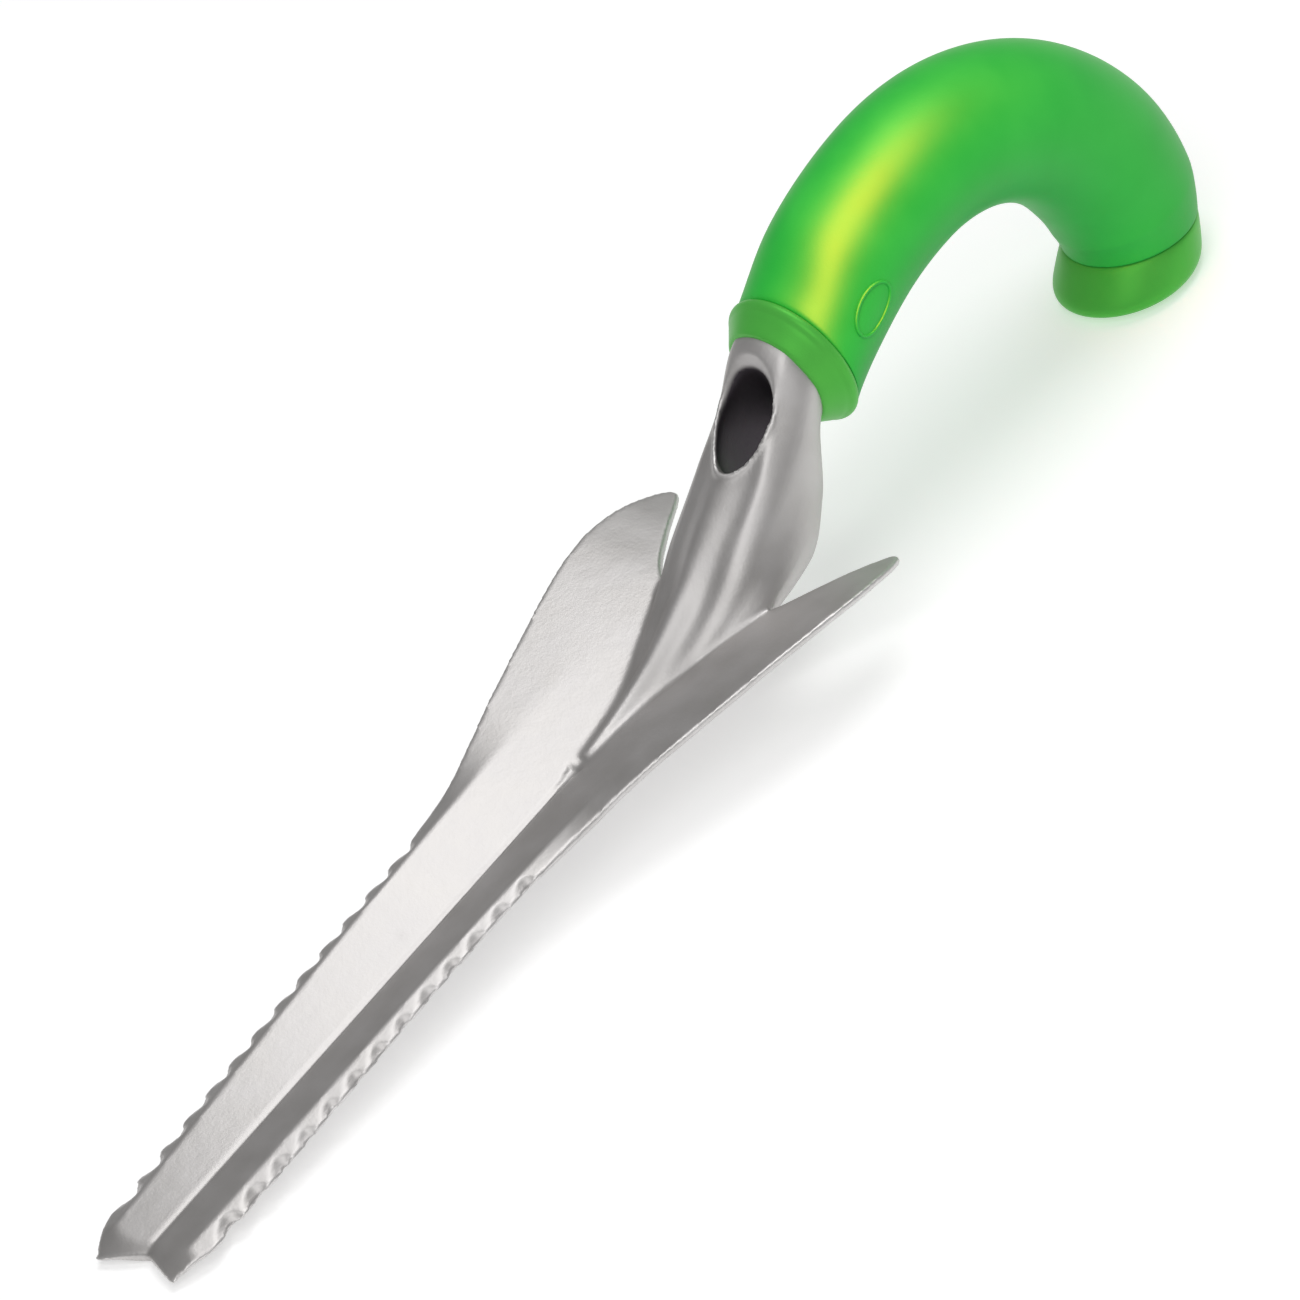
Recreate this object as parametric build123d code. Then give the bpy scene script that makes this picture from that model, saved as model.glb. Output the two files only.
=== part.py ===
from build123d import *
import math
import os

# Hand weeder: a cast aluminium blade with two leaf-shaped wings, whose neck runs up into a
# curved soft grip. It lies on its back: the channel faces up, and the tip and the pommel
# touch the floor. Millimetres throughout.
#
# Everything is drawn in the blade's own axes: X runs from the tip along the channel's crease
# towards the handle, Y is across, Z is out of the channel, and X = 0 is the notch in the tip.
# At the end the whole tool is tilted and moved so that the origin is at the middle of its base.

# Channel: its section is a shallow V with a bevel outside each ridge.
KEEL_Z = -3.8                 # back of the blade, under the crease
KEEL_HALF_WIDTH = 4.0
TIP_CUT_X = -7.0              # the chisel runs out just past the prongs
CHISEL_X = 2.2
SCALLOP_END_X = 125.0
WING_START_X = 160.0
WING_WIDE_X = 208.0
WING_END_X = 240.0

# Outline seen from the front.
NOTCH_X = 0.7
PRONG = (-5.2, 11.8)
TIP_CORNER = (6.0, 16.7)
EDGE_END = (120.0, 19.5)
EDGE_START_Z = 0.3            # height of the edge at the tip's corner and where it ends
EDGE_END_Z = 4.7
WING_START = (150.0, 24.3)
WING_MIDDLE = (186.0, 34.6)
WING_WIDEST = (216.0, 40.2)
WING_TIP = (235.4, 35.2)
WING_INNER = (226.0, 27.4)
WING_ROOT = (214.0, 20.4)

# Scallops: scooped teeth along both edges.
SCALLOP_COUNT = 13
SCALLOP_PITCH = 8.8
SCALLOP_FIRST_X = 14.0
SCALLOP_RADIUS = 3.3
SCALLOP_DEPTH = 1.7
SCALLOP_SLOPE = 42.0          # degrees the scoop falls, outwards
BIG_SCALLOPS = 3              # the ones next to the tip are larger
BIG_SCALLOP_GROWTH = 0.13

# Hang hole through the neck.
HOLE_CENTRE = (236.4, 33.4)   # X, Z
HOLE_LENGTH = 22.0
HOLE_WIDTH = 14.0
HOLE_LEAN = 14.0              # degrees from Z
HOLE_DEPTH = 90.0

# Grip: its centreline is three tangent arcs in the XZ plane.
TOP_X = 301.7
TOP_Z = 46.0
RISE_RADIUS = 81.9
CURL_RADIUS = 52.5
END_RADIUS = 30.0
CORE_RADIUS = 12.0
CORE_CLEARANCE = 0.05
CORE_END_ANGLE = -40.0        # past the seam, where the core is cut off
SLEEVE_RADII = [              # angle on the arcs, radius
    (108, 17.1),
    (90, 17.6),
    (66, 18.1),
    (42, 18.4),
    (20, 18.5),
    (2, 17.7),
]

# Tang: the flat bar of the casting that runs up inside the grip.
TANG_START_ANGLE = 129.0
TANG_END_ANGLE = 30.0
TANG_WIDTH = 8.0
TANG_HEIGHT = 15.0
TANG_HOLE_ANGLES = (104.0, 78.0, 48.0)
TANG_HOLE_RADIUS = 3.2
BOSS_CLEARANCE = 0.2

# Collar and pommel, the harder ends of the grip.
COLLAR_SLOPE = 0.0            # degrees that the collar's axis rises
COLLAR_TOP = (258.2, 33.0)    # X, Z of the middle of its upper face
COLLAR_PROFILE = [            # distance below the upper face, half height, half width
    (7.6, 13.4, 13.2),
    (6.8, 14.6, 14.4),
    (2.8, 16.7, 16.9),
    (2.0, 17.5, 17.7),
    (0.8, 17.5, 17.7),
    (0.0, 16.9, 17.1),
]
SLEEVE_START = (16.9, 17.1)
POMMEL_ANGLE = -17.0          # where its seam is on the arcs
POMMEL_SLOPE = 8.0            # degrees its axis leans from straight down
POMMEL_PROFILE = [            # distance past the seam, radius
    (0.0, 15.9),
    (1.2, 16.4),
    (7.8, 17.3),
    (9.6, 16.6),
    (10.4, 15.0),
]
POMMEL_SHEAR = 0.52           # how far the flare leans inwards, for each mm past the seam
SLEEVE_END_RADIUS = 15.9
SPIGOT_RADIUS = 7.0
SPIGOT_LENGTH = 8.0

REST_TILT = 3.65              # degrees, brings the tip and the pommel level
FAR = 200.0                   # larger than the tool's half height, for cutting tools


def front_section(x, crease_z, ridge, rim, rim_thickness, keel_z=KEEL_Z):
    """One cross-section of the channel, a closed V-shaped polygon across Y."""
    ridge_y, ridge_z = ridge
    rim_y, rim_z = rim
    right = [
        (ridge_y, ridge_z),
        (rim_y, rim_z),
        (rim_y, rim_z - rim_thickness),
        (KEEL_HALF_WIDTH, keel_z),
    ]
    left = [(-y, z) for y, z in reversed(right)]
    outline = [(0, crease_z)] + right + left
    return make_face(Polyline([(x, y, z) for y, z in outline], close=True))


def channel_slab():
    """The V-shaped plate, wider than its outline, with the chisel ground into its tip."""
    sections = [
        front_section(TIP_CUT_X, -3.4, (11.1, -2.2), (18.0, -0.8), 0.4),
        front_section(CHISEL_X, 0.0, (11.4, 1.7), (18.0, -0.3), 0.5),
        front_section(SCALLOP_END_X, 0.0, (15.7, 6.1), (21.0, 4.6), 0.8),
        front_section(WING_START_X, 0.0, (16.5, 5.6), (29.5, 9.7), 1.4),
        front_section(WING_WIDE_X, 0.0, (17.0, 4.2), (43.0, 11.7), 1.4),
        front_section(WING_END_X, -3.6, (19.0, -1.0), (43.0, 4.4), 1.4, keel_z=-6.2),
    ]
    return loft(sections, ruled=True)


def front_outline():
    """Swallow-tailed tip, straight edges and leaf-shaped wings, as a tall prism."""
    straight = Polyline((NOTCH_X, 0), PRONG, TIP_CORNER, EDGE_END)
    wing = Spline(
        EDGE_END, WING_START, WING_MIDDLE, WING_WIDEST, WING_TIP, WING_INNER, WING_ROOT
    )
    root = Line(WING_ROOT, (WING_ROOT[0], 0))
    half = Curve() + [straight, wing, root]
    outline = half + mirror(half, about=Plane.XZ)
    return Pos(0, 0, -FAR / 2) * extrude(make_face(outline.edges()), FAR)


def edge_point(x):
    """Y and Z of the blade's outer edge at x, on the straight stretch."""
    along = (x - TIP_CORNER[0]) / (EDGE_END[0] - TIP_CORNER[0])
    y = TIP_CORNER[1] + along * (EDGE_END[1] - TIP_CORNER[1])
    return y, EDGE_START_Z + along * (EDGE_END_Z - EDGE_START_Z)


def scallop_cutters():
    """Round scoops that fall outwards and bite deepest at the very edge."""
    cutters = []
    for index in range(SCALLOP_COUNT):
        growth = 1 + BIG_SCALLOP_GROWTH * max(0, BIG_SCALLOPS - index)
        radius = SCALLOP_RADIUS * growth
        x = SCALLOP_FIRST_X + index * SCALLOP_PITCH
        y, z = edge_point(x)
        lift = radius - SCALLOP_DEPTH * growth
        slope = math.radians(SCALLOP_SLOPE)
        centre = (y + lift * math.sin(slope), z + lift * math.cos(slope))
        for side in (-1, 1):
            axis = (0, side * math.cos(slope), -math.sin(slope))
            place = Plane(origin=(x, side * centre[0], centre[1]), z_dir=axis)
            cutters.append(place * Cylinder(radius, 4 * radius))
    return cutters


def neck_section(x, top, groove, corner, side, foot, bottom):
    """One cross-section of the neck: a front ridge, a groove, and a side down to its foot."""
    right = [groove, corner, side, foot]
    left = [(-y, z) for y, z in reversed(right)]
    outline = [(0, top)] + right + [(0, bottom)] + left
    return make_face(Spline([(x, y, z) for y, z in outline], periodic=True))


def neck():
    """The keel that grows out of the channel and turns into a round stem at the collar."""
    sections = [
        neck_section(162, -0.5, (1.0, -0.8), (1.8, -1.4), (2.4, -2.0), (2.4, -2.7), -3.4),
        neck_section(184, 4.2, (2.8, 3.0), (5.0, 2.6), (8.6, 1.6), (12.0, -0.4), -3.8),
        neck_section(200, 11.2, (4.2, 8.8), (7.6, 8.0), (11.4, 4.8), (16.4, 0.2), -4.4),
        neck_section(214, 19.8, (5.8, 17.0), (9.8, 15.8), (13.4, 9.6), (18.0, 1.0), -5.4),
        neck_section(228, 27.2, (6.6, 26.2), (11.0, 24.0), (14.2, 14.0), (15.4, 3.0), -6.0),
        neck_section(240, 36.0, (6.0, 35.5), (9.9, 33.4), (13.2, 24.0), (12.0, 10.0), 0.4),
        neck_section(250, 45.2, (5.8, 44.4), (9.7, 41.6), (12.8, 32.6), (9.8, 23.6), 19.0),
        neck_section(256, 46.8, (5.6, 46.1), (9.4, 43.4), (12.2, 34.6), (9.2, 26.6), 22.6),
    ]
    return loft(sections)


def arc_point(angle):
    """X and Z on the grip's centreline, at an angle on its arcs."""
    turn = math.radians(angle)
    if angle >= 90:
        radius = RISE_RADIUS
        centre = (TOP_X, TOP_Z - RISE_RADIUS)
    elif angle >= 0:
        radius = CURL_RADIUS
        centre = (TOP_X, TOP_Z - CURL_RADIUS)
    else:
        radius = END_RADIUS
        centre = (TOP_X + CURL_RADIUS - END_RADIUS, TOP_Z - CURL_RADIUS)
    return centre[0] + radius * math.cos(turn), centre[1] + radius * math.sin(turn)


def arc_plane(angle):
    """A plane across the grip, its Z along the centreline and its X away from the curl."""
    turn = math.radians(angle)
    x, z = arc_point(angle)
    return Plane(
        origin=(x, 0, z),
        x_dir=(math.cos(turn), 0, math.sin(turn)),
        z_dir=(math.sin(turn), 0, -math.cos(turn)),
    )


def grip_path(start, end):
    """The centreline as tangent arcs, from a start angle down to an end angle."""
    stops = [start] + [angle for angle in (90, 0) if end < angle < start] + [end]
    arcs = []
    for first, last in zip(stops, stops[1:]):
        points = [arc_point(angle) for angle in (first, (first + last) / 2, last - 1e-9)]
        arcs.append(ThreePointArc(*[(x, 0, z) for x, z in points]))
    return Wire(arcs)


def swept(profile, start, end):
    """A constant profile carried along the centreline."""
    return sweep(arc_plane(start) * profile, path=grip_path(start, end))


def tang(clearance=0.0):
    """The flat bar inside the grip, with a rounded end."""
    grown = 2 * clearance
    profile = Rectangle(TANG_HEIGHT + grown, TANG_WIDTH + grown)
    bar = swept(profile, TANG_START_ANGLE, TANG_END_ANGLE)
    end = arc_plane(TANG_END_ANGLE) * Rot(90, 0, 0)
    return bar + end * Cylinder(TANG_HEIGHT / 2 + clearance, TANG_WIDTH + grown)


def tang_pins(radius, length):
    """Cylinders across the tang, one at each of its holes."""
    pins = []
    for angle in TANG_HOLE_ANGLES:
        x, z = arc_point(angle)
        pins.append(Pos(x, 0, z) * Rot(90, 0, 0) * Cylinder(radius, length))
    return pins


def hang_hole():
    """The oval hole, bored front to back."""
    slot = SlotOverall(HOLE_LENGTH, HOLE_WIDTH)
    bore = extrude(slot, HOLE_DEPTH / 2, both=True)
    return Pos(HOLE_CENTRE[0], 0, HOLE_CENTRE[1]) * Rot(0, -HOLE_LEAN, 0) * bore


def blade():
    """The whole casting: channel, wings, neck and tang."""
    plate = channel_slab() & front_outline()
    plate = plate - scallop_cutters()
    casting = plate + neck()
    casting = casting - hang_hole()
    casting = casting + tang()
    return casting - tang_pins(TANG_HOLE_RADIUS, 2 * TANG_WIDTH)


def collar_plane(below=0.0):
    """A plane across the collar, below its upper face, with its X towards the front."""
    slope = math.radians(COLLAR_SLOPE)
    along = (math.cos(slope), 0, math.sin(slope))
    origin = (COLLAR_TOP[0] - below * along[0], 0, COLLAR_TOP[1] - below * along[2])
    return Plane(origin=origin, x_dir=(-along[2], 0, along[0]), z_dir=along)


def collar():
    """The ring at the foot of the grip, with a raised bead round its upper edge."""
    sections = [
        collar_plane(below) * Ellipse(half_height, half_width)
        for below, half_height, half_width in COLLAR_PROFILE
    ]
    ring = loft(sections, ruled=True)
    return ring - neck() - tang()


def beyond_collar(solid):
    """The part of a solid that is on the handle's side of the collar's upper face."""
    block = collar_plane() * Pos(0, 0, FAR / 2) * Box(FAR, FAR, FAR)
    return solid & block


def core():
    """The stiff rod along the centreline, closed by the collar and the pommel."""
    rod = swept(Circle(CORE_RADIUS), TANG_START_ANGLE, CORE_END_ANGLE)
    return beyond_collar(rod) - below_seam() - tang() - pommel()


def core_half(side):
    """One half shell of the core; the bosses of the left one fill the tang's holes."""
    half_space = Pos(TOP_X, side * FAR / 2, 0) * Box(FAR, FAR, FAR)
    half = core() & half_space
    if side > 0:
        bosses = tang_pins(TANG_HOLE_RADIUS - BOSS_CLEARANCE, TANG_WIDTH)
        half = half + bosses
    return half


def grip_sleeve():
    """The soft moulded skin, fattest at the outside of the curl."""
    first = collar_plane() * Ellipse(*SLEEVE_START)
    rings = [arc_plane(angle) * Circle(radius) for angle, radius in SLEEVE_RADII]
    last = seam_plane() * Circle(SLEEVE_END_RADIUS)
    skin = loft([first] + rings + [last])
    rod = swept(Circle(CORE_RADIUS + CORE_CLEARANCE), TANG_START_ANGLE, CORE_END_ANGLE)
    return skin - rod


def seam_plane(past=0.0):
    """A plane along the pommel's seam or past it, its Z towards the free end."""
    slope = math.radians(POMMEL_SLOPE)
    x, z = arc_point(POMMEL_ANGLE)
    down = (-math.sin(slope), 0, -math.cos(slope))
    inward = (-math.cos(slope), 0, math.sin(slope))
    lean = POMMEL_SHEAR * past
    origin = (x + down[0] * past + inward[0] * lean, 0, z + down[2] * past + inward[2] * lean)
    return Plane(origin=origin, x_dir=inward, z_dir=down)


def below_seam():
    """Everything on the free side of the pommel's seam."""
    return seam_plane() * Pos(0, 0, FAR / 2) * Box(FAR / 2, FAR, FAR)


def pommel():
    """The flared cap at the free end, plugged into the core."""
    rings = [seam_plane(past) * Circle(radius) for past, radius in POMMEL_PROFILE]
    flare = loft(rings)
    upwards = (Align.CENTER, Align.CENTER, Align.MAX)
    spigot = seam_plane() * Cylinder(SPIGOT_RADIUS, SPIGOT_LENGTH, align=upwards)
    return flare + spigot


def whole_tool():
    """Every piece by name, in the blade's own axes."""
    return {
        "blade": blade(),
        "collar": collar(),
        "core_left": core_half(1),
        "core_right": core_half(-1),
        "grip_sleeve": grip_sleeve(),
        "pommel": pommel(),
    }


def at_rest(pieces):
    """The pieces tilted onto the tip and the pommel, with the origin at the middle of the base."""
    tilted = {name: Rot(0, -REST_TILT, 0) * piece for name, piece in pieces.items()}
    box = Compound([solid for piece in tilted.values() for solid in piece.solids()]).bounding_box()
    middle = box.center()
    place = Pos(-middle.X, -middle.Y, -box.min.Z)
    return {name: place * piece for name, piece in tilted.items()}


def main():
    os.makedirs("parts", exist_ok=True)
    for name, piece in at_rest(whole_tool()).items():
        export_step(piece, f"parts/{name}.step")


main()
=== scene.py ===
import math

import bpy
import numpy as np
from mathutils import Matrix, Vector


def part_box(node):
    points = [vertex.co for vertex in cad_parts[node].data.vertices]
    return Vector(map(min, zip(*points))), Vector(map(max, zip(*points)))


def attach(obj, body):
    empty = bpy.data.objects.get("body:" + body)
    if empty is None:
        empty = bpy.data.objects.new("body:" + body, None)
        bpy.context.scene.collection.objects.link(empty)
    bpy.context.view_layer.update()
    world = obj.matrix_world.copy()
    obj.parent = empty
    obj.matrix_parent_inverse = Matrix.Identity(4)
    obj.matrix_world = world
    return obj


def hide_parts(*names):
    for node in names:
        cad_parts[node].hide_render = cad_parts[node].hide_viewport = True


# A hand weeder: a cast aluminium blade with leaf-shaped wings, and a curved soft grip between a
# collar and a pommel. The shapes below are drawn in the blade's own axes, in millimetres: X runs
# along the channel's crease from the notch in the tip, Y is across, Z is out of the channel.
# to_frame() then tilts them onto the floor, where the CAD model lies.

MM = 0.001
REST_TILT = math.radians(3.65)
PRONG_X = -5.10               # the foremost point of the tip
KEEL_LIFT = 3.88              # from the floor up to the crease, at the notch

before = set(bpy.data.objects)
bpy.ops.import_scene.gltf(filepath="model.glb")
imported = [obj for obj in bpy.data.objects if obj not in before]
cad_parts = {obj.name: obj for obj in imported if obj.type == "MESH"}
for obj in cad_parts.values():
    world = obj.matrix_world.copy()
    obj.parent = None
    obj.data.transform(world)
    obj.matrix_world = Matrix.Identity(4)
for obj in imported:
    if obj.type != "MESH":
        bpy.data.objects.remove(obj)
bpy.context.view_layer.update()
notch_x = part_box("blade")[0].x / MM - PRONG_X


def to_frame(points):
    """Points in the blade's axes, in mm, as points in the row's frame, in metres."""
    x, y, z = np.asarray(points, float).T
    cos, sin = math.cos(REST_TILT), math.sin(REST_TILT)
    return np.stack((x * cos - z * sin + notch_x, y, x * sin + z * cos + KEEL_LIFT), 1) * MM


def turned(direction):
    """A direction in the blade's axes as one in the row's frame."""
    x, y, z = direction
    cos, sin = math.cos(REST_TILT), math.sin(REST_TILT)
    return Vector((x * cos - z * sin, y, x * sin + z * cos))


def add_mesh(name, points, faces, replaced=None, smooth_angle=None):
    """A smooth mesh object that rides with the tool."""
    mesh = bpy.data.meshes.new(name)
    mesh.from_pydata(points.tolist(), [], [tuple(face) for face in faces])
    mesh.validate()
    piece = bpy.data.objects.new(name, mesh)
    bpy.context.scene.collection.objects.link(piece)
    mesh.shade_smooth()
    if smooth_angle is not None:
        mesh.set_sharp_from_angle(angle=math.radians(smooth_angle))
    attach(piece, "root")
    if replaced:
        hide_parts(replaced)
    return piece


# ---------------------------------------------------------------- the camera and the light

VIEW_UP = (0.6736, 0.2076, 0.7089)
VIEW_BACK = (-0.4295, -0.6710, 0.6040)     # from the tool towards the camera
VIEW_MIDDLE = (155.6, -51.4, 53.5)         # what the middle of the picture shows
VIEW_WIDTH = 285.7                         # mm across the picture
CAMERA_DISTANCE = 10000.0
SENSOR_WIDTH = 36.0
FLOOR_HALF_WIDTH = 3.0                     # metres


def place(obj, direction, distance):
    """Puts a camera or light at a distance along a direction, looking back at the middle."""
    back = turned(direction).normalized()
    obj.location = Vector(to_frame([VIEW_MIDDLE])[0]) + back * distance * MM
    obj.rotation_euler = back.to_track_quat("Z", "Y").to_euler()


def make_camera():
    """A long lens from far off, so that lines hardly converge."""
    camera = bpy.data.objects.new("camera", bpy.data.cameras.new("camera"))
    bpy.context.scene.collection.objects.link(camera)
    place(camera, VIEW_BACK, CAMERA_DISTANCE)
    back = turned(VIEW_BACK).normalized()
    right = turned(VIEW_UP).cross(back).normalized()
    up = back.cross(right)
    camera.rotation_euler = Matrix((right, up, back)).transposed().to_euler()
    camera.data.sensor_width = SENSOR_WIDTH
    camera.data.lens = SENSOR_WIDTH * CAMERA_DISTANCE / VIEW_WIDTH
    bpy.context.scene.camera = camera


def make_light(name, direction, distance, size, power, colour=(1, 1, 1), only_on=None):
    """A round light. Its distance and size are in mm, and it can be kept to a few pieces."""
    light = bpy.data.objects.new(name, bpy.data.lights.new(name, "AREA"))
    bpy.context.scene.collection.objects.link(light)
    light.data.shape = "DISK"
    light.data.size = size * MM
    light.data.energy = power
    light.data.color = colour
    place(light, direction, distance)
    if only_on:
        lit = bpy.data.collections.new(name + "_lit")
        for piece in only_on:
            lit.objects.link(piece)
        light.light_linking.receiver_collection = lit


def make_stage():
    """The pale floor, the even world light and the two lights that reach everything."""
    half = FLOOR_HALF_WIDTH
    mesh = bpy.data.meshes.new("floor")
    mesh.from_pydata([(-half, -half, 0), (half, -half, 0), (half, half, 0), (-half, half, 0)],
                     [], [(0, 1, 2, 3)])
    floor = bpy.data.objects.new("floor", mesh)
    bpy.context.scene.collection.objects.link(floor)
    material = bpy.data.materials.new("pale_floor")
    material.use_nodes = True
    shader = material.node_tree.nodes["Principled BSDF"]
    shader.inputs["Base Color"].default_value = (0.8, 0.8, 0.8, 1)
    shader.inputs["Roughness"].default_value = 0.9
    shader.inputs["Emission Color"].default_value = (1, 1, 1, 1)
    shader.inputs["Emission Strength"].default_value = 0.42
    floor.data.materials.append(material)
    world = bpy.data.worlds.new("studio")
    bpy.context.scene.world = world
    world.use_nodes = True
    background = world.node_tree.nodes["Background"]
    background.inputs["Color"].default_value = (1, 1, 1, 1)
    background.inputs["Strength"].default_value = 0.28
    make_light("key_light", (0.45, 0.05, 0.89), 1400, 1000, 8.5)
    make_light("grip_light", (-0.41, -0.46, 0.79), 1100, 880, 4.1)
    bpy.context.scene.view_settings.view_transform = "Standard"


make_camera()
make_stage()


# ---------------------------------------------------------------- the casting, as a solid field

def curve(x, knots):
    """A smooth line through knots of (x, value), held level past its ends."""
    at = np.array([knot[0] for knot in knots], float)
    value = np.array([knot[1] for knot in knots], float)
    rise = np.diff(value) / np.diff(at)
    product = rise[:-1] * rise[1:]
    inner = np.where(product > 0, 2 * product / (rise[:-1] + rise[1:] + (product <= 0)), 0)
    slope = np.concatenate((rise[:1], inner, rise[-1:]))
    x = np.clip(x, at[0], at[-1])
    i = np.clip(np.searchsorted(at, x, side="right") - 1, 0, len(at) - 2)
    span = at[i + 1] - at[i]
    t = (x - at[i]) / span
    return ((1 + 2 * t) * (1 - t) ** 2 * value[i] + t * (1 - t) ** 2 * span * slope[i]
            + t * t * (3 - 2 * t) * value[i + 1] + t * t * (t - 1) * span * slope[i + 1])


def join(a, b, blend):
    """The union of two fields, with a fillet as wide as blend."""
    near = np.maximum(blend - np.abs(a - b), 0)
    return np.minimum(a, b) - near * near / (4 * blend)


def meet(a, b, blend):
    """The overlap of two fields, with its edge rounded over blend."""
    return -join(-a, -b, blend)


# Across the channel: a V up to a ridge on each side, then a bevel that becomes the wing.
RIDGE_Y = ((-7, 11.0), (0, 11.3), (129, 15.9), (160, 16.6), (208, 17.2), (240, 19.0))
RIDGE_Z = ((-7, 1.35), (0, 1.6), (125, 6.1), (160, 5.6), (190, 4.9), (208, 4.2),
           (220, 2.8), (240, -1.0))
OUTER_SLOPE = ((0, -0.30), (112, -0.31), (124, -0.26), (138, -0.06), (150, 0.18), (163, 0.265),
               (190, 0.265), (212, 0.235), (240, 0.18))
CREASE_Z = ((200, 0.0), (215, -0.9), (240, -3.6))
KEEL_Z = ((-3, -2.4), (1, -3.5), (5, -3.8), (205, -3.8), (240, -6.2))
RIM_Y = ((-7, 12), (6, 16.7), (120, 19.6), (150, 24.3), (176, 31.5), (216, 40.2), (240, 40.2))
RIM_THICKNESS = ((-7, 0.3), (3, 0.6), (115, 0.7), (140, 1.5), (170, 1.8), (240, 1.6))
KEEL_HALF_WIDTH = 4.0
PLATE_THICKNESS = ((150, 12.0), (178, 4.0), (200, 2.8), (240, 2.2))
CHISEL_X, CHISEL_SLOPE = 2.2, 0.34         # the slope ground across the tip
CREASE_ROUND = 0.35           # how widely the crease is rounded
GUTTER_HALF_WIDTH, GUTTER_DEPTH = 0.75, 0.3
GUTTER_SPREAD = 1.6           # how much wider the gutter is where it stops before the neck
GUTTER_SPREAD_X, GUTTER_END_X = 148.0, 157.5

# Seen from the front, half of the outline: tip, straight edge, then round the wing to its root.
STRAIGHT_EDGE = ((-0.2, 0), (-5.8, 12.2), (6.0, 16.7), (120, 19.6))
WING_EDGE = ((120, 19.6), (136, 21.2), (150, 24.3), (163, 27.9), (176, 31.5), (190, 35.3),
             (204, 38.7), (216, 40.2), (226, 39.3), (233, 37.0), (235.4, 34.6), (233.4, 32.0),
             (222, 25.2), (214, 20.0), (206, 12.0))

# The neck: for stations along X, its front ridge, groove, shoulder, side and foot as (Y, Z), and
# its underside.
NECK_STATIONS = (160, 172, 184, 200, 214, 228, 240, 250, 256, 262)
NECK_SHAPE = {
    "ridge": ((0, 0.9), (0, 2.4), (0, 5.0), (0, 11.4), (0, 19.6), (0, 27.2), (0, 35.6),
              (0, 45.2), (0, 46.8), (0, 48.4)),
    "groove": ((1.2, 0.6), (2.2, 1.3), (3.4, 2.9), (4.8, 8.2), (5.8, 17.0), (6.3, 25.2),
               (5.4, 34.8), (5.2, 44.1), (5.0, 45.8), (4.8, 47.4)),
    "shoulder": ((1.8, 0.2), (3.4, 0.6), (5.6, 1.9), (8.2, 7.0), (9.8, 15.6), (10.2, 23.8),
                 (9.2, 32.4), (9.0, 41.3), (8.8, 43.0), (8.6, 44.6)),
    "side": ((2.4, -1.2), (4.6, -0.4), (7.2, 1.0), (10.8, 4.6), (13.2, 11.2), (13.8, 17.0),
             (13.3, 24.0), (12.8, 33.0), (12.2, 35.0), (12.0, 36.6)),
    "foot": ((2.4, -2.8), (5.4, -1.6), (8.8, -0.6), (13.0, 0.2), (16.2, 1.6), (15.2, 3.4),
             (12.0, 10.4), (9.6, 23.8), (9.0, 26.8), (8.8, 29.8)),
    "underside": ((0, -3.5), (0, -3.6), (0, -3.8), (0, -4.3), (0, -5.2), (0, -5.6), (0, 0.8),
                  (0, 19.0), (0, 22.6), (0, 26.2)),
}

# The hang hole, bored through the neck and flared where it opens on the front.
HOLE_CENTRE = (236.8, 33.6)
HOLE_LEAN = math.radians(14)
HOLE_HALF_LENGTH, HOLE_HALF_WIDTH = 10.8, 6.8
HOLE_FLARE, HOLE_UPPER_FLARE = 0.09, 0.16
HOLE_LIP = 0.5

SCALLOP_COUNT = 13
SCALLOP_PITCH = 8.8
SCALLOP_FIRST_X = 16.5        # where the first one's steep wall is
SCALLOP_HALF_SIZE = (3.3, 3.6, 3.1)        # along the edge, across it, and up
SCALLOP_LIFT = 1.95           # from the bevel up to the scoop's axis
BIG_SCALLOPS, BIG_SCALLOP_GROWTH = 3, 0.13
SCALLOP_RISE = 0.22           # how fast a scoop runs out, towards the tip
SCALLOP_WALL = 0.78           # from a scoop's middle to its steep wall, in half sizes
SCALLOP_REACH = 14            # how far along the edge one scoop is worked out

CASTING_END_X = 257.6         # inside the collar
GRID = 0.64                   # mm between samples of the field
GRID_LOW = (-7.2, 0.0, -7.8)
GRID_HIGH = (259.0, 42.0, 49.4)


def channel_top(x, y):
    """Height of the front face of the channel and wings."""
    ridge_y, ridge_z = curve(x, RIDGE_Y), curve(x, RIDGE_Z)
    crease = curve(x, CREASE_Z)
    soft_y = np.sqrt(y * y + CREASE_ROUND**2) - 0.7 * CREASE_ROUND
    wall = crease + (ridge_z - crease) * soft_y / ridge_y
    spread = np.clip((x - GUTTER_SPREAD_X) / (GUTTER_END_X - GUTTER_SPREAD_X), 0, 1) ** 2
    gutter = np.clip((GUTTER_HALF_WIDTH + GUTTER_SPREAD * spread - y) / 0.25, 0, 1)
    gutter_depth = GUTTER_DEPTH + 0.3 * spread
    wall = wall - gutter_depth * gutter * np.clip((GUTTER_END_X - x) / 0.8, 0, 1)
    bevel = ridge_z + curve(x, OUTER_SLOPE) * (y - ridge_y)
    top = join(wall, bevel, 0.15)
    chisel = CHISEL_SLOPE * (x - CHISEL_X) + ridge_z * y / ridge_y + 0.4 - 0.02 * (y - 6) ** 2
    return join(top, chisel, 0.5)


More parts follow.
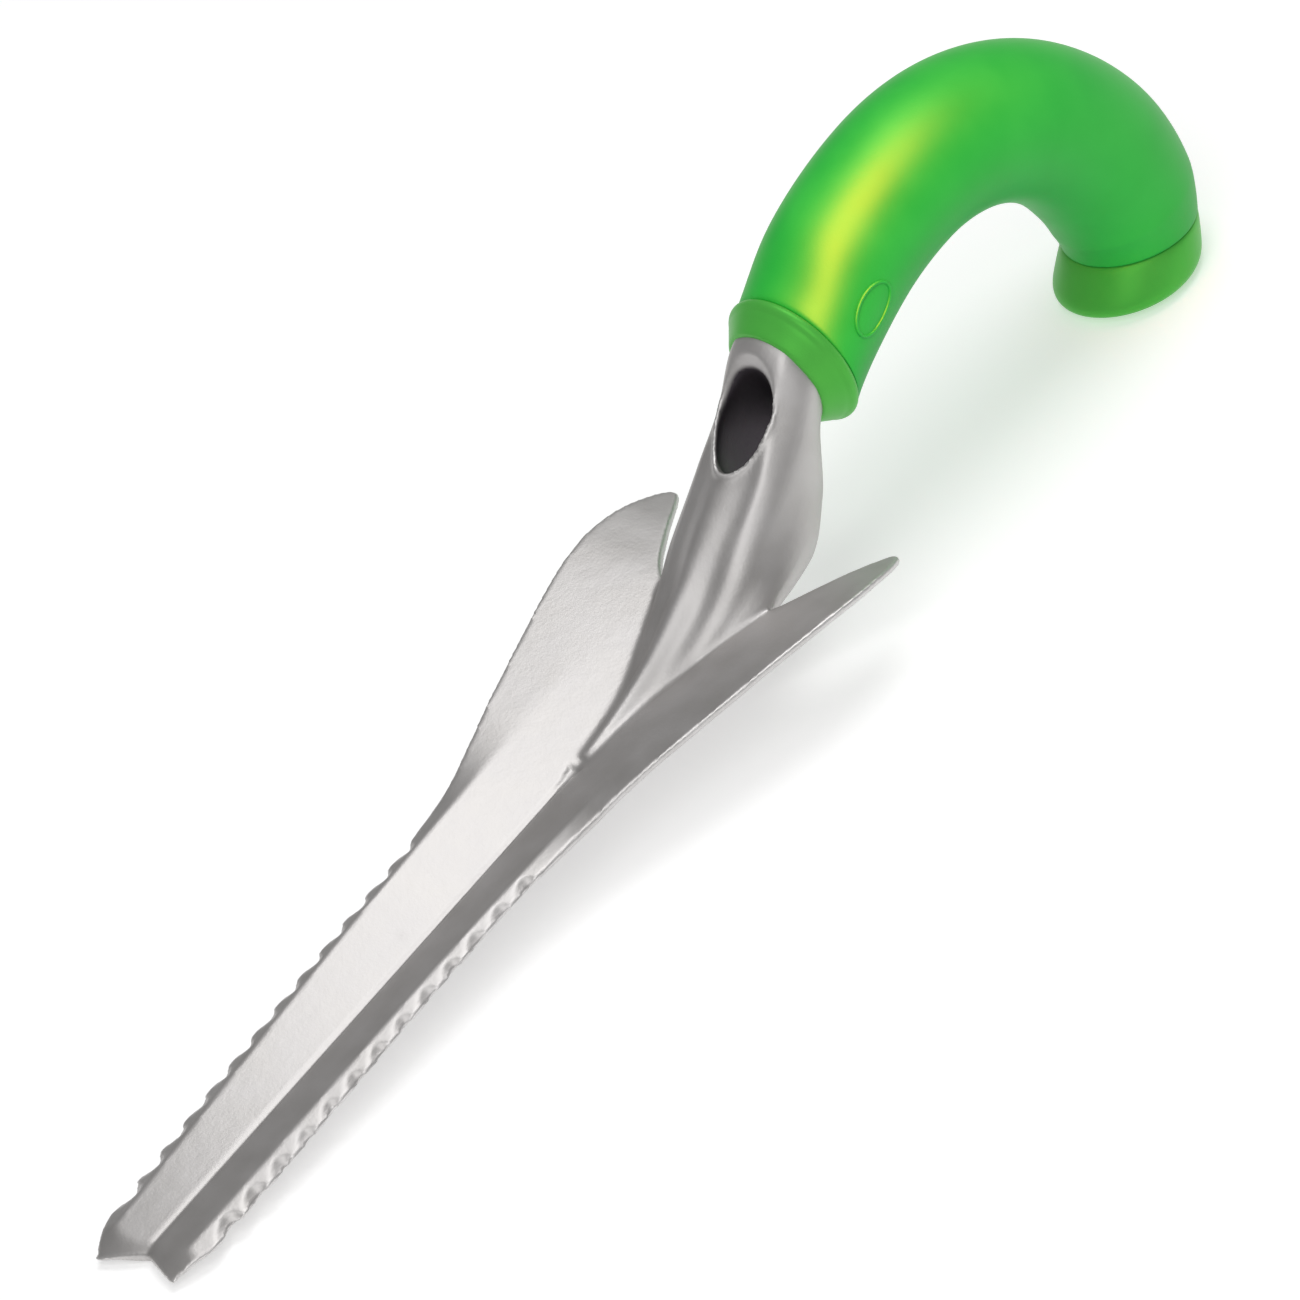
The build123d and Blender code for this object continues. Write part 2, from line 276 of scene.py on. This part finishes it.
def spline(points, steps, closed=False):
    """A smooth curve through points, with steps pieces between each two."""
    points = np.asarray(points, float)
    if closed:
        around = np.concatenate((points[-1:], points, points[:2]))
    else:
        around = np.concatenate((2 * points[:1] - points[1:2], points,
                                 2 * points[-1:] - points[-2:-1]))
    before, start, end, after = around[:-3], around[1:-2], around[2:-1], around[3:]
    t = np.linspace(0, 1, steps, endpoint=False)[:, None, None]
    line = 0.5 * (2 * start + (end - before) * t
                  + (2 * before - 5 * start + 4 * end - after) * t**2
                  + (3 * start - 3 * end + after - before) * t**3)
    line = line.transpose(1, 0, 2).reshape(-1, points.shape[1])
    return line if closed else np.concatenate((line, points[-1:]))


def polygon_field(x, y, polygon):
    """Signed distance from points to a closed polygon, negative inside."""
    x, y = np.broadcast_arrays(x, y)
    nearest = np.full(x.shape, np.inf)
    inside = np.zeros(x.shape, bool)
    for (ax, ay), (bx, by) in zip(polygon, np.roll(polygon, -1, 0)):
        dx, dy = bx - ax, by - ay
        length = dx * dx + dy * dy
        if length == 0:
            continue
        t = np.clip(((x - ax) * dx + (y - ay) * dy) / length, 0, 1)
        nearest = np.minimum(nearest, (x - ax - t * dx) ** 2 + (y - ay - t * dy) ** 2)
        if dy:
            crosses = ((ay > y) != (by > y)) & (x < ax + dx * (y - ay) / dy)
            inside ^= crosses
    return np.where(inside, -1, 1) * np.sqrt(nearest)


def front_outline():
    """The whole outline of channel and wings seen from the front."""
    half = np.concatenate((STRAIGHT_EDGE[:-1], spline(WING_EDGE, 8)))
    other = half[::-1] * (1, -1)
    return np.concatenate((half, other[:-1]))


def plate_field(x, y, z):
    """The channel and the wings."""
    top = channel_top(x, y)
    rim_y = curve(x, RIM_Y)
    rim_z = channel_top(x, rim_y) - curve(x, RIM_THICKNESS)
    keel = curve(x, KEEL_Z)
    back = keel + np.maximum(y - KEEL_HALF_WIDTH, 0) * (rim_z - keel) / (rim_y - KEEL_HALF_WIDTH)
    back = -join(-back, -(top - curve(x, PLATE_THICKNESS)), 1.0)
    outline = polygon_field(x, y, front_outline())
    body = meet(0.93 * (z - top), 0.93 * (back - z), 0.3)
    return meet(body, outline, 0.6)


def neck_field(x, y, z):
    """The neck, from a closed outline at each station along X."""
    field = np.full(np.broadcast_shapes(x.shape, y.shape, z.shape), 20.0, np.float32)
    flat_y, flat_z = (a[0] for a in np.broadcast_arrays(y, z))
    for i, station in enumerate(x[:, 0, 0]):
        if station < NECK_STATIONS[0] - 1:
            continue
        right = []
        for points in NECK_SHAPE.values():
            right.append([curve(station, list(zip(NECK_STATIONS, axis))) for axis in zip(*points)])
        left = [(-a, b) for a, b in right[-2:0:-1]]
        outline = spline(np.array(right + left), 6, closed=True)
        field[i] = polygon_field(flat_y, flat_z, outline)
    start = NECK_STATIONS[0] - x
    return meet(0.85 * field, start, 1.0)


def hole_radius(x, y, z):
    """How far out from the hang hole's middle line, 1 at its wall, and how far up its oval."""
    from_x, from_z = x - HOLE_CENTRE[0], z - HOLE_CENTRE[1]
    along = math.cos(HOLE_LEAN) * from_x + math.sin(HOLE_LEAN) * from_z
    egg = 1 + 0.016 * along
    return np.sqrt((along / HOLE_HALF_LENGTH) ** 2 + (y / (HOLE_HALF_WIDTH * egg)) ** 2), along


def cut_hole(field, x, y, z):
    """The hang hole, with a thin lip round its mouth and a flare, widest at its upper end."""
    radius, along = hole_radius(x, y, z)
    front = z > HOLE_CENTRE[1] - 12 + 0.7 * (x - HOLE_CENTRE[0])
    lip = np.hypot((radius / (1.06 + HOLE_FLARE) - 1) * 1.15 * HOLE_HALF_WIDTH, field)
    field = np.where(front, join(field, lip - HOLE_LIP, 0.6), field)
    upper = np.clip((along / HOLE_HALF_LENGTH + 0.2) / 1.2, 0, 1)
    flare = 1 + np.where(front, (HOLE_FLARE + HOLE_UPPER_FLARE * upper)
                         * np.exp(np.clip(field, -20, 1) / 1.3), 0)
    return meet(field, -(radius / flare - 1) * HOLE_HALF_WIDTH, 0.4)


def cut_scallops(field, x, y, z):
    """Scoops along the edge: steep on the handle's side, running out towards the tip."""
    for index in range(SCALLOP_COUNT):
        growth = 1 + BIG_SCALLOP_GROWTH * max(0, BIG_SCALLOPS - index)
        long, wide, high = (growth * half_size for half_size in SCALLOP_HALF_SIZE)
        centre_x = SCALLOP_FIRST_X + index * SCALLOP_PITCH - SCALLOP_WALL * long
        edge_y = np.interp(centre_x, *zip(*STRAIGHT_EDGE[-2:]))
        centre_z = float(channel_top(np.array(centre_x), np.array(edge_y))) + SCALLOP_LIFT * growth
        near = np.abs(x[:, 0, 0] - centre_x) < SCALLOP_REACH
        dx, dy = x[near] - centre_x, y - edge_y
        run = np.clip(-dx, 0, SCALLOP_REACH)
        dz = z - centre_z - curve(centre_x, OUTER_SLOPE) * dy - SCALLOP_RISE * run
        scoop = np.sqrt(((dx + run) / long) ** 2 + (dy / wide) ** 2 + (dz / high) ** 2) - 1
        field[near] = meet(field[near], -scoop * high, 0.25)
    return field


def casting_field(x, y, z):
    """Distance to the casting's surface, about, and negative inside it."""
    field = plate_field(x, y, z)
    field = cut_scallops(field, x, y, z)
    field = join(field, neck_field(x, y, z), 0.7)
    field = cut_hole(field, x, y, z)
    return meet(field, x - CASTING_END_X, 0.4)


def surface_net(field, low, step):
    """A closed mesh of quads where the field is zero."""
    inside = field < 0
    shape = np.array(field.shape) - 1
    corner = [(i, j, k) for i in (0, 1) for j in (0, 1) for k in (0, 1)]
    cut = [slice(0, -1), slice(1, None)]
    count = sum(inside[cut[i], cut[j], cut[k]].astype(np.int8) for i, j, k in corner)
    cells = np.argwhere((count > 0) & (count < 8))
    index = np.full(shape, -1, np.int64)
    index[tuple(cells.T)] = np.arange(len(cells))
    total = np.zeros((len(cells), 3))
    hits = np.zeros(len(cells))
    for axis in range(3):
        for i, j in ((0, 0), (0, 1), (1, 0), (1, 1)):
            start = np.zeros(3, int)
            start[[a for a in range(3) if a != axis]] = (i, j)
            end = start.copy()
            end[axis] = 1
            a = field[tuple((cells + start).T)]
            b = field[tuple((cells + end).T)]
            crosses = (a < 0) != (b < 0)
            t = np.where(crosses, a / np.where(crosses, a - b, 1), 0)
            crossing = start + np.outer(t, end - start)
            total += crossing * crosses[:, None]
            hits += crosses
    points = low + (cells + total / hits[:, None]) * step
    faces = []
    for axis in range(3):
        u, v = [a for a in range(3) if a != axis]
        ahead = [slice(None)] * 3
        ahead[axis] = slice(1, None)
        behind = [slice(None)] * 3
        behind[axis] = slice(0, -1)
        change = inside[tuple(ahead)] != inside[tuple(behind)]
        edges = np.argwhere(change)
        edges = edges[(edges[:, u] > 0) & (edges[:, v] > 0)
                      & (edges[:, u] < shape[u]) & (edges[:, v] < shape[v])]
        around = []
        for i, j in ((0, 0), (1, 0), (1, 1), (0, 1)):
            cell = edges.copy()
            cell[:, u] -= i
            cell[:, v] -= j
            around.append(index[tuple(cell.T)])
        quads = np.stack(around, 1)
        outward = inside[tuple(edges.T)] ^ (axis == 1)
        quads[~outward] = quads[~outward][:, ::-1]
        faces.append(quads)
    return points, np.concatenate(faces)


def pulled_to_surface(points, field, low, step, rounds=3):
    """Points moved along the field's slope until they lie on its surface."""
    for _ in range(rounds):
        at = (points - low) / step
        base = np.clip(np.floor(at).astype(int), 0, np.array(field.shape) - 2)
        part = at - base
        value = np.zeros(len(points))
        slope = np.zeros((len(points), 3))
        for i in (0, 1):
            for j in (0, 1):
                for k in (0, 1):
                    sample = field[base[:, 0] + i, base[:, 1] + j, base[:, 2] + k]
                    weight = [part[:, a] if on else 1 - part[:, a]
                              for a, on in enumerate((i, j, k))]
                    value += sample * weight[0] * weight[1] * weight[2]
                    for a, on in enumerate((i, j, k)):
                        others = [weight[b] for b in range(3) if b != a]
                        slope[:, a] += sample * (1 if on else -1) * others[0] * others[1]
        slope /= step
        move = value[:, None] * slope / np.maximum((slope**2).sum(1), 0.05)[:, None]
        points = points - np.clip(move, -0.3 * step, 0.3 * step)
    return points


def make_casting():
    """The casting's near half as a field, mirrored, then meshed."""
    axes = [np.arange(low, high + GRID / 2, GRID) for low, high in zip(GRID_LOW, GRID_HIGH)]
    x, y, z = axes[0][:, None, None], axes[1][None, :, None], axes[2][None, None, :]
    half = casting_field(x, y, z).astype(np.float32)
    field = np.concatenate((half[:, :0:-1], half), 1)
    low = np.array((GRID_LOW[0], -axes[1][-1], GRID_LOW[2]))
    points, faces = surface_net(field, low, GRID)
    points = pulled_to_surface(points, field, low, GRID)
    piece = add_mesh("weeder_casting", to_frame(points), faces, "blade")
    # How far inside the bore each point lies, from 0 to 1: the mask for the shade painted into the
    # bore.
    radius, _ = hole_radius(*points.T)
    depth = HOLE_CENTRE[1] + 0.78 * (points[:, 0] - HOLE_CENTRE[0]) - points[:, 2]
    painted_bore_shade = np.clip((1.12 - radius) / 0.06, 0, 1) * np.clip(depth - 0.8, 0, 1)
    piece.data.attributes.new("painted_bore_shade", "FLOAT", "POINT").data.foreach_set("value", painted_bore_shade)
    return piece


casting = make_casting()


# ---------------------------------------------------------------- the grip

TOP_X, TOP_Z = 301.7, 46.0
RISE_RADIUS, CURL_RADIUS, END_RADIUS = 81.9, 52.5, 30.0
COLLAR_TOP = (258.2, 33.0)
COLLAR_ANGLE, SEAM_ANGLE = 122.1, -17.0
SEAM_SLOPE = math.radians(8)
SLEEVE_RADII = ((-17, 15.9), (-9, 16.7), (2, 17.7), (20, 18.5), (42, 18.4), (66, 18.1),
                (90, 17.6), (108, 17.2), (122, 17.1))
SLEEVE_BORE = 12.05           # the hollow that the stiff insert fills
LEAN_START, SEAM_TILT_START = 102, 8       # angles where the rings begin to turn from square
AROUND = 128                  # vertices round each ring of the grip


def arc_point(angle):
    """X and Z on the grip's centreline: three tangent arcs, told apart by the angle."""
    turn = math.radians(angle)
    if angle >= 90:
        radius, centre = RISE_RADIUS, (TOP_X, TOP_Z - RISE_RADIUS)
    elif angle >= 0:
        radius, centre = CURL_RADIUS, (TOP_X, TOP_Z - CURL_RADIUS)
    else:
        radius, centre = END_RADIUS, (TOP_X + CURL_RADIUS - END_RADIUS, TOP_Z - CURL_RADIUS)
    return np.array((centre[0] + radius * math.cos(turn), centre[1] + radius * math.sin(turn)))


def ring(middle, slope, half_height, half_width):
    """An oval ring across the grip. Its axis rises at slope; its first point is at the front."""
    turn = np.arange(AROUND) * 2 * math.pi / AROUND
    out, side = half_height * np.cos(turn), half_width * np.sin(turn)
    return np.stack((middle[0] - math.sin(slope) * out, side,
                     middle[1] + math.cos(slope) * out), 1)


def tube(rings, name, replaced, closed_ends=True):
    """A closed mesh through a list of rings, with a fan over each end."""
    points = np.concatenate(rings)
    faces = []
    for row in range(len(rings) - 1):
        for i in range(AROUND):
            j = (i + 1) % AROUND
            a, b = row * AROUND, (row + 1) * AROUND
            faces.append((a + i, b + i, b + j, a + j))
    if closed_ends:
        ends = np.stack((rings[0].mean(0), rings[-1].mean(0)))
        first, last = len(points), len(points) + 1
        points = np.concatenate((points, ends))
        top = (len(rings) - 1) * AROUND
        for i in range(AROUND):
            j = (i + 1) % AROUND
            faces.append((first, i, j))
            faces.append((last, top + j, top + i))
    else:
        a = (len(rings) - 1) * AROUND
        for i in range(AROUND):
            j = (i + 1) % AROUND
            faces.append((a + i, i, j, a + j))
    return add_mesh(name, to_frame(points), faces, replaced, smooth_angle=40)


def sleeve_ring(angle, shrink=0.0, radius=None):
    """One ring of the sleeve, square to the centreline except near the collar and the seam."""
    lean = -math.radians(COLLAR_ANGLE - 90)
    part = np.clip((angle - LEAN_START) / (COLLAR_ANGLE - LEAN_START), 0, 1)
    part = part * part * (3 - 2 * part)
    slope = math.radians(angle - 90) + lean * part
    middle = arc_point(angle) - (0, 0.5 * part)
    seam = math.radians(SEAM_ANGLE - 90)
    tilt = -(math.pi / 2 - SEAM_SLOPE) - seam - 2 * SEAM_SLOPE
    part = np.clip((SEAM_TILT_START - angle) / (SEAM_TILT_START - SEAM_ANGLE), 0, 1)
    slope += tilt * part * part * (3 - 2 * part)
    radius = float(curve(angle, SLEEVE_RADII)) - shrink if radius is None else radius
    return ring(middle, slope, radius - 0.1 * part, radius + 0.1 * part)


def make_sleeve():
    """The sleeve: its rounded end by the collar, its skin, its other end, then its bore."""
    rings = []
    for shrink, back in ((1.4, 0.0), (0.5, 0.06), (0.12, 0.25)):
        rings.append(sleeve_ring(COLLAR_ANGLE - back, shrink))
    for angle in np.linspace(COLLAR_ANGLE - 0.7, SEAM_ANGLE + 0.9, 150):
        rings.append(sleeve_ring(angle))
    for shrink, back in ((0.1, 0.4), (0.4, 0.12), (1.1, 0.0)):
        rings.append(sleeve_ring(SEAM_ANGLE + back, shrink))
    for angle in np.linspace(SEAM_ANGLE, COLLAR_ANGLE, 60):
        rings.append(sleeve_ring(angle, radius=SLEEVE_BORE))
    return tube(rings, "weeder_grip", "grip_sleeve", closed_ends=False)


# Below the collar's upper face: distance, half height and half width.
COLLAR_PROFILE = ((7.6, 12.6, 12.4), (7.55, 13.1, 12.9), (7.3, 13.5, 13.3), (6.8, 13.9, 13.8),
                  (5.2, 15.0, 15.0), (3.8, 16.0, 16.1), (3.0, 16.5, 16.65), (2.5, 16.95, 17.1),
                  (2.0, 17.35, 17.5), (1.4, 17.55, 17.7), (0.8, 17.5, 17.65), (0.3, 17.2, 17.35),
                  (0.0, 16.6, 16.8))


def make_collar():
    rings = []
    for below, half_height, half_width in spline(COLLAR_PROFILE, 3):
        rings.append(ring((COLLAR_TOP[0] - below, COLLAR_TOP[1]), 0, half_height, half_width))
    return tube(rings, "weeder_collar", "collar")


# Past the pommel's seam: distance and radius.
POMMEL_PROFILE = ((0.0, 14.9), (0.15, 15.6), (0.6, 15.95), (1.6, 16.3), (4.0, 16.8), (6.4, 17.2),
                  (7.8, 17.3), (8.8, 17.1), (9.6, 16.6), (10.2, 15.8), (10.5, 14.6), (10.75, 12.0),
                  (10.95, 7.0), (11.0, 2.0))
POMMEL_SHEAR = 0.52           # how far it leans inward as it goes down


def make_pommel():
    x, z = arc_point(SEAM_ANGLE)
    down = (-math.sin(SEAM_SLOPE), -math.cos(SEAM_SLOPE))
    inward = (-math.cos(SEAM_SLOPE), math.sin(SEAM_SLOPE))
    axis = -(math.pi / 2 + SEAM_SLOPE)
    rings = []
    for past, radius in spline(POMMEL_PROFILE, 3):
        lean = POMMEL_SHEAR * past
        middle = (x + down[0] * past + inward[0] * lean, z + down[1] * past + inward[1] * lean)
        rings.append(ring(middle, axis, radius, radius))
    return tube(rings, "weeder_pommel", "pommel")


# A plain oval ring stands a little proud of the grip's near side, by the collar.
EMBLEM_ANGLE, EMBLEM_TURN = 112.0, math.radians(-88)
EMBLEM_HALF_LENGTH, EMBLEM_HALF_WIDTH = 6.5, 4.2
EMBLEM_WIRE = 0.42            # radius of the raised line
EMBLEM_STEPS, EMBLEM_SIDES = 72, 12


def sleeve_point(angle, turn, out):
    """A point out from the sleeve, by its angle on the arcs and the turn round them."""
    x, z = arc_point(angle)
    radius = float(curve(angle, SLEEVE_RADII)) + out
    lift = radius * math.cos(turn)
    across = math.radians(angle)
    return np.array((x + lift * math.cos(across), radius * math.sin(turn),
                     z + lift * math.sin(across)))


def make_emblem():
    radius = float(curve(EMBLEM_ANGLE, SLEEVE_RADII))
    points, faces = [], []
    for i in range(EMBLEM_STEPS):
        round_oval = 2 * math.pi * i / EMBLEM_STEPS
        for j in range(EMBLEM_SIDES):
            round_wire = 2 * math.pi * j / EMBLEM_SIDES
            grow = EMBLEM_WIRE * math.cos(round_wire)
            along = (EMBLEM_HALF_LENGTH + grow) * math.cos(round_oval)
            across = (EMBLEM_HALF_WIDTH + grow) * math.sin(round_oval)
            points.append(sleeve_point(EMBLEM_ANGLE + math.degrees(along / RISE_RADIUS),
                                       EMBLEM_TURN + across / radius,
                                       EMBLEM_WIRE * math.sin(round_wire)))
            a, b = i * EMBLEM_SIDES, (i + 1) % EMBLEM_STEPS * EMBLEM_SIDES
            after = (j + 1) % EMBLEM_SIDES
            faces.append((a + j, a + after, b + after, b + j))
    return add_mesh("weeder_emblem", to_frame(points), faces)


grip = make_sleeve()
collar = make_collar()
pommel = make_pommel()
emblem = make_emblem()
# Two warm lights that reach only the grip give its broad yellow shine.
make_light("rise_glow", (-0.43, -0.47, 0.77), 900, 620, 34.0, (1, 0.10, 0.03), (grip, emblem))
make_light("top_glow", (0.18, -0.36, 0.91), 900, 700, 62.0, (1, 0.10, 0.03), (grip, emblem))


# ---------------------------------------------------------------- materials

def new_material(name):
    material = bpy.data.materials.new(name)
    material.use_nodes = True
    nodes = material.node_tree.nodes
    return material, nodes, material.node_tree.links, nodes["Principled BSDF"]


def noise(nodes, links, scale, detail=3.0, roughness=0.5):
    """Noise on the object's own coordinates, scale in bumps per metre."""
    coordinates = nodes.new("ShaderNodeTexCoord")
    texture = nodes.new("ShaderNodeTexNoise")
    texture.inputs["Scale"].default_value = scale
    texture.inputs["Detail"].default_value = detail
    texture.inputs["Roughness"].default_value = roughness
    links.new(coordinates.outputs["Object"], texture.inputs["Vector"])
    return texture.outputs["Fac"]


def ramp(nodes, links, value, stops):
    """A colour ramp from stops of (position, colour)."""
    node = nodes.new("ShaderNodeValToRGB")
    elements = node.color_ramp.elements
    while len(elements) < len(stops):
        elements.new(0.5)
    for element, (position, colour) in zip(elements, stops):
        element.position = position
        element.color = (*colour, 1)
    links.new(value, node.inputs["Fac"])
    return node.outputs["Color"]


def between(nodes, links, value, low, high):
    """A value from 0 to 1 carried onto a range."""
    node = nodes.new("ShaderNodeMapRange")
    node.inputs["To Min"].default_value = low
    node.inputs["To Max"].default_value = high
    links.new(value, node.inputs["Value"])
    return node.outputs["Result"]


def add_bumps(nodes, links, shader, layers):
    """Bumps from (height, distance in metres, strength) layers, one after the other."""
    normal = None
    for height, distance, strength in layers:
        bump = nodes.new("ShaderNodeBump")
        bump.inputs["Distance"].default_value = distance
        bump.inputs["Strength"].default_value = strength
        links.new(height, bump.inputs["Height"])
        if normal is not None:
            links.new(normal, bump.inputs["Normal"])
        normal = bump.outputs["Normal"]
    links.new(normal, shader.inputs["Normal"])


def cast_aluminium():
    """Matt cast metal, with a highlight painted along its edges and shade painted inside the bore.
    """
    material, nodes, links, shader = new_material("cast_aluminium")
    cloud = noise(nodes, links, 90, 4)
    colour = ramp(nodes, links, cloud, ((0.3, (0.50, 0.485, 0.475)), (0.7, (0.57, 0.555, 0.55))))
    # A highlight painted along the convex edges: the colour is lightened where the surface bulges.
    painted_edge_highlight = ramp(nodes, links, nodes.new("ShaderNodeNewGeometry").outputs["Pointiness"],
                ((0.51, (0, 0, 0)), (0.58, (0.22, 0.22, 0.22))))
    lighter = nodes.new("ShaderNodeMixRGB")
    lighter.blend_type = "ADD"
    lighter.inputs["Fac"].default_value = 1
    links.new(colour, lighter.inputs["Color1"])
    links.new(painted_edge_highlight, lighter.inputs["Color2"])
    # Shade painted into the bore: the colour goes nearly black where the mask reaches 1.
    painted_bore_shade = nodes.new("ShaderNodeAttribute")
    painted_bore_shade.attribute_name = "painted_bore_shade"
    darker = nodes.new("ShaderNodeMixRGB")
    darker.inputs["Color2"].default_value = (0.065, 0.055, 0.065, 1)
    links.new(painted_bore_shade.outputs["Fac"], darker.inputs["Fac"])
    links.new(lighter.outputs["Color"], darker.inputs["Color1"])
    links.new(darker.outputs["Color"], shader.inputs["Base Color"])
    shader.inputs["Metallic"].default_value = 0.92
    grain = noise(nodes, links, 1400, 3, 0.6)
    links.new(between(nodes, links, cloud, 0.42, 0.54), shader.inputs["Roughness"])
    waves = noise(nodes, links, 260, 2)
    add_bumps(nodes, links, shader, ((waves, 0.00012, 0.5), (grain, 0.00006, 0.6)))
    return material


def soft_plastic(name, colour_low, colour_high, roughness):
    """Moulded plastic or rubber with a fine grain and a coloured shine."""
    material, nodes, links, shader = new_material(name)
    cloud = noise(nodes, links, 60, 3)
    colour = ramp(nodes, links, cloud, ((0.3, colour_low), (0.7, colour_high)))
    links.new(colour, shader.inputs["Base Color"])
    links.new(between(nodes, links, cloud, roughness - 0.03, roughness + 0.05),
              shader.inputs["Roughness"])
    shader.inputs["IOR"].default_value = 1.6
    shader.inputs["Specular IOR Level"].default_value = 1.0
    shader.inputs["Specular Tint"].default_value = (0.22, 1.0, 0.12, 1)
    grain = noise(nodes, links, 2200, 2, 0.5)
    add_bumps(nodes, links, shader, ((grain, 0.00003, 0.5),))
    return material


def dress(piece, material):
    piece.data.materials.clear()
    piece.data.materials.append(material)


dress(casting, cast_aluminium())
rubber = soft_plastic("grip_rubber", (0.0, 0.28, 0.045), (0.002, 0.32, 0.055), 0.46)
dress(grip, rubber)
dress(emblem, rubber)
plastic = soft_plastic("end_plastic", (0.07, 0.42, 0.06), (0.09, 0.46, 0.07), 0.38)
dress(collar, plastic)
dress(pommel, plastic)
hidden = soft_plastic("core_plastic", (0.03, 0.03, 0.03), (0.05, 0.05, 0.05), 0.5)
for node in ("core_left", "core_right"):
    dress(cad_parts[node], hidden)
